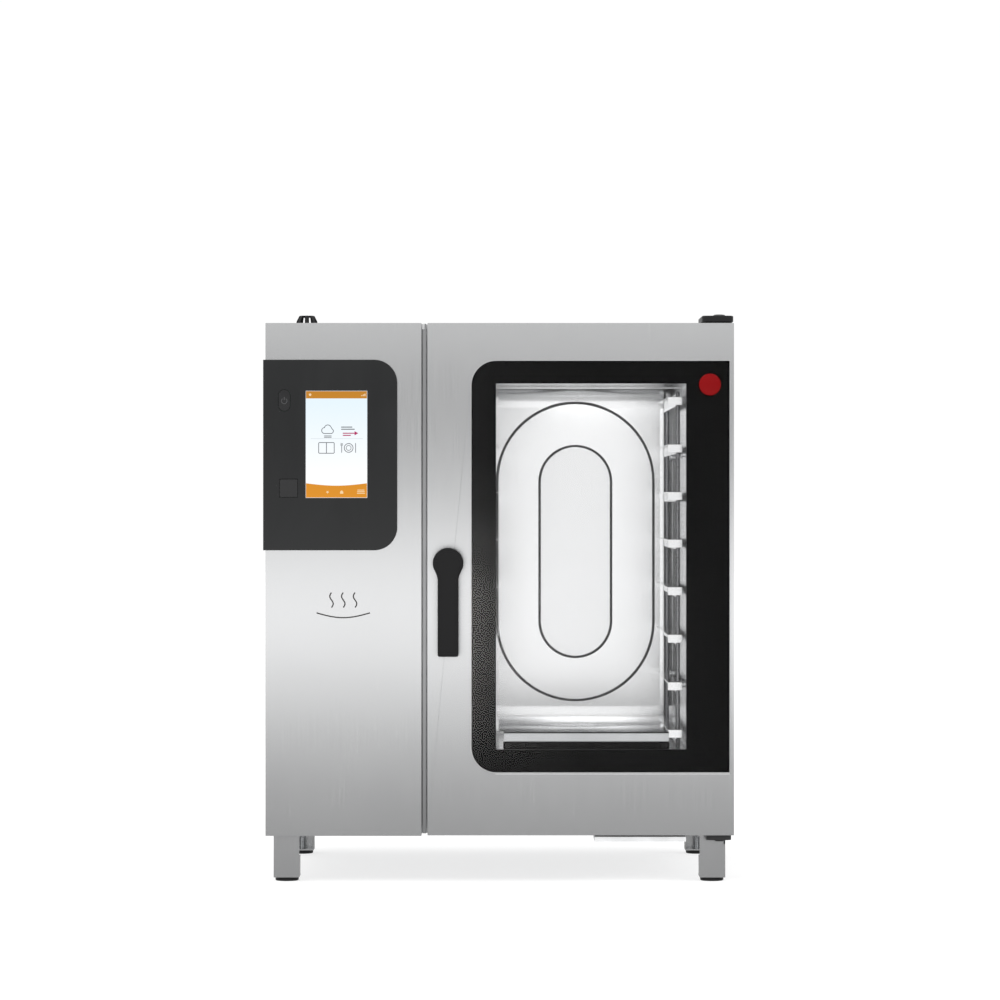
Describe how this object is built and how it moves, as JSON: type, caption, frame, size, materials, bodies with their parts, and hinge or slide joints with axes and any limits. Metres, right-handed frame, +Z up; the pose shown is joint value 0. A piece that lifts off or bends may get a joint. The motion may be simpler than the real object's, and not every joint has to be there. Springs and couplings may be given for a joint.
{
  "type": "combi steamer oven",
  "caption": "Tabletop combi steamer oven: steel cabinet, touch-screen control column on the left, side-hinged glass door with a drop handle, tray racks and fan inside.",
  "frame": {"origin": "on the floor plane under the middle of the cabinet's bounding box", "axes": "+X to the user's right, +Y to the rear, +Z up"},
  "size_m": [0.88, 0.792, 1.068],
  "materials": {
    "casing_steel": "fine brushed stainless steel, grain mostly upright on the front",
    "chamber_steel": "bright smooth stainless steel",
    "machined_steel": "plain machined and pressed steel",
    "black_glass": "black printed glass, glossy",
    "clear_glass": "clear toughened glass",
    "screen": "lit display behind clear cover",
    "black_plastic": "fine textured black moulding",
    "unit_plastic": "grey black housing",
    "rubber": "soft black silicone",
    "badge_red": "glossy domed red",
    "board": "green circuit board",
    "aluminium": "cast and pressed aluminium",
    "insulation": "mineral wool",
    "brass": "turned brass"
  },
  "bodies": {
    "cabinet": {"base_pan": "casing_steel", "left_side_panel": "casing_steel", "right_side_panel": "casing_steel", "rear_panel": "casing_steel", "top_panel": "casing_steel", "front_fascia": "casing_steel", "leg_front_left": "casing_steel", "leg_front_right": "casing_steel", "leg_rear_left": "casing_steel", "leg_rear_right": "casing_steel", "drip_tray": "casing_steel", "front_frame": "casing_steel", "cavity_floor": "chamber_steel", "cavity_ceiling": "chamber_steel", "cavity_left_wall": "chamber_steel", "cavity_right_wall": "chamber_steel", "cavity_rear_wall": "chamber_steel", "rear_baffle_plate": "chamber_steel", "suction_panel": "chamber_steel", "drain_strainer": "chamber_steel", "heating_coil": "machined_steel", "steam_boiler": "machined_steel", "steam_pipe": "machined_steel", "vent_pipe": "machined_steel", "drain_pipe": "machined_steel", "hinge_bracket_bottom": "machined_steel", "door_catch": "machined_steel", "control_glass": "black_glass", "cavity_lamp": "clear_glass", "touch_screen": "screen", "vent_cap": "black_plastic", "cable_gland": "black_plastic", "hinge_bracket_top": "black_plastic", "power_unit": "unit_plastic", "door_seal": "rubber", "control_board": "board", "fan_motor": "aluminium", "insulation_rear": "insulation", "insulation_top": "insulation", "insulation_right": "insulation", "water_inlet": "brass"},
    "door": {"door_frame": "casing_steel", "door_outer_glass": "clear_glass", "door_glass_frit": "black_glass", "door_inner_frame": "casing_steel", "door_inner_glass": "clear_glass", "inner_glass_rail": "black_plastic", "door_badge": "badge_red"},
    "handle": {"door_handle": "black_plastic", "handle_shaft": "machined_steel", "latch_cam": "machined_steel"},
    "button": {"power_button": "black_plastic"},
    "flap": {"usb_flap": "rubber"},
    "fan": {"fan_wheel": "aluminium"},
    "rack_l": {"rack_left": "chamber_steel"},
    "rack_r": {"rack_right": "chamber_steel"},
    "foot_fl": {"foot_front_left": "black_plastic"},
    "foot_fr": {"foot_front_right": "black_plastic"},
    "foot_rl": {"foot_rear_left": "black_plastic"},
    "foot_rr": {"foot_rear_right": "black_plastic"}
  },
  "joints": [
    {"name": "door_swing", "type": "hinge", "parent": "cabinet", "child": "door", "pos_m": [0.412, -0.316, 0], "axis": [0, 0, 1], "range_deg": [0, 135]},
    {"name": "handle_turn", "type": "hinge", "parent": "door", "child": "handle", "pos_m": [-0.0954, -0.338, 0.5986], "axis": [0, 1, 0], "range_deg": [0, 90]},
    {"name": "power_button_press", "type": "slide", "parent": "cabinet", "child": "button", "axis": [0, 1, 0], "range_m": [0, 0.0015], "stiffness_N_per_m": 600, "springref_m": -0.0005},
    {"name": "usb_flap_open", "type": "hinge", "parent": "cabinet", "child": "flap", "pos_m": [-0.394, -0.3432, 0.7545], "axis": [-1, 0, 0], "range_deg": [0, 100]},
    {"name": "fan_spin", "type": "hinge", "parent": "cabinet", "child": "fan", "pos_m": [-0.084, 0.01, 0.595], "axis": [1, 0, 0], "continuous": true},
    {"name": "rack_left_lift", "type": "slide", "parent": "cabinet", "child": "rack_l", "axis": [0, 0, 1], "range_m": [0, 0.016]},
    {"name": "rack_right_lift", "type": "slide", "parent": "cabinet", "child": "rack_r", "axis": [0, 0, 1], "range_m": [0, 0.016]},
    {"name": "foot_front_left_turn", "type": "hinge", "parent": "cabinet", "child": "foot_fl", "pos_m": [-0.4, -0.283, 0], "axis": [0, 0, 1], "continuous": true},
    {"name": "foot_front_right_turn", "type": "hinge", "parent": "cabinet", "child": "foot_fr", "pos_m": [0.4, -0.283, 0], "axis": [0, 0, 1], "continuous": true},
    {"name": "foot_rear_left_turn", "type": "hinge", "parent": "cabinet", "child": "foot_rl", "pos_m": [-0.4, 0.26, 0], "axis": [0, 0, 1], "continuous": true},
    {"name": "foot_rear_right_turn", "type": "hinge", "parent": "cabinet", "child": "foot_rr", "pos_m": [0.4, 0.26, 0], "axis": [0, 0, 1], "continuous": true}
  ]
}
